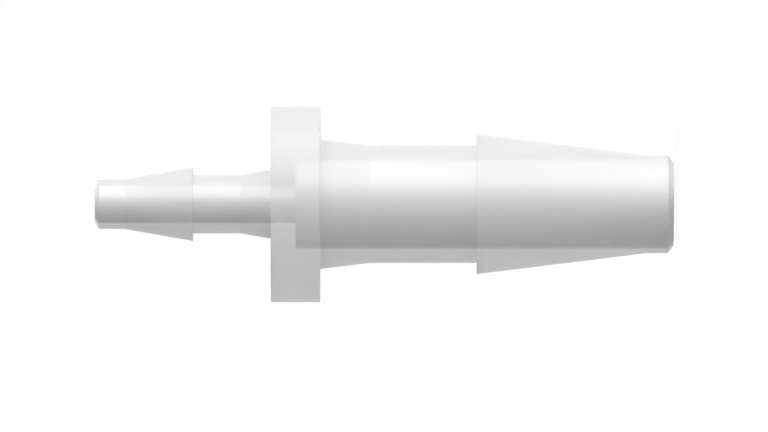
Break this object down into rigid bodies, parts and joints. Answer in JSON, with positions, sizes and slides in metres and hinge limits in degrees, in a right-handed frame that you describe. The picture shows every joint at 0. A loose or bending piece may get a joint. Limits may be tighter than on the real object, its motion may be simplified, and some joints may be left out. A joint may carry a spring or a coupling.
{
  "type": "reducing hose coupling",
  "caption": "Straight reducing hose coupling: a large and a small single hose barb back to back on a round flange, with a stepped bore right through.",
  "frame": {"origin": "centre of the large barb's flat tip face, which the coupling stands on", "axes": "+Z along the bores, from the large barb's tip to the small barb's tip"},
  "size_m": [0.0112, 0.0112, 0.033],
  "materials": {
    "natural_polypropylene": "smooth moulded, translucent milky white"
  },
  "bodies": {
    "root": {"coupling_body": "natural_polypropylene"}
  },
  "joints": []
}
